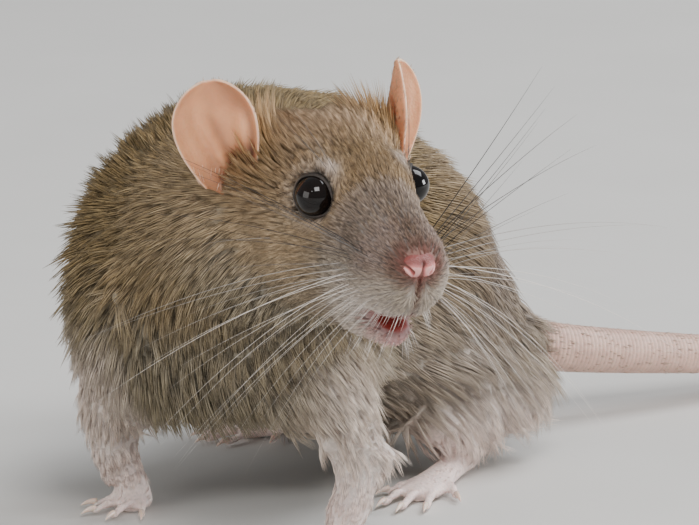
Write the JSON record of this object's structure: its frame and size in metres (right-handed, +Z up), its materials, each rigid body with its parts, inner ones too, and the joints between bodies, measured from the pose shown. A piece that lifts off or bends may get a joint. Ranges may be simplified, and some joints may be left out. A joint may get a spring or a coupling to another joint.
{
  "type": "brown rat figure",
  "caption": "Life-size still model of a young brown rat, standing on all fours with its head turned to its left and its mouth a little open.",
  "frame": {"origin": "on the floor, under the middle of the model's box", "axes": "+Z up; the trunk faces -Y and the tail lies towards +Y; the animal's left is +X"},
  "size_m": [0.1304, 0.2814, 0.0873],
  "materials": {
    "coat": "short agouti fur, brown tipped with buff over grey",
    "coat_pale": "pale grey fur of the legs",
    "foot_skin": "pink bare skin with fine pale hairs",
    "tail_skin": "ringed scaly skin with sparse bristles",
    "ear_skin": "thin pink skin with fine down",
    "nose_skin": "moist pink nose pad",
    "lip": "pink lip edged with white hair",
    "eye": "wet black",
    "whisker": "stiff hair, dark above and white below"
  },
  "bodies": {
    "root": {"head": "coat", "neck": "coat", "chest": "coat", "belly": "coat", "rump": "coat", "foreleg_left": "coat_pale", "foreleg_right": "coat_pale", "hindleg_left": "coat", "hindleg_right": "coat", "forefoot_left": "foot_skin", "forefoot_right": "foot_skin", "hindfoot_left": "foot_skin", "hindfoot_right": "foot_skin", "tail_1": "tail_skin", "tail_2": "tail_skin", "tail_3": "tail_skin", "tail_4": "tail_skin", "lower_jaw": "lip", "nose": "nose_skin", "eye_left": "eye", "eye_right": "eye", "ear_left": "ear_skin", "ear_right": "ear_skin", "whiskers_left": "whisker", "whiskers_right": "whisker"}
  },
  "joints": []
}
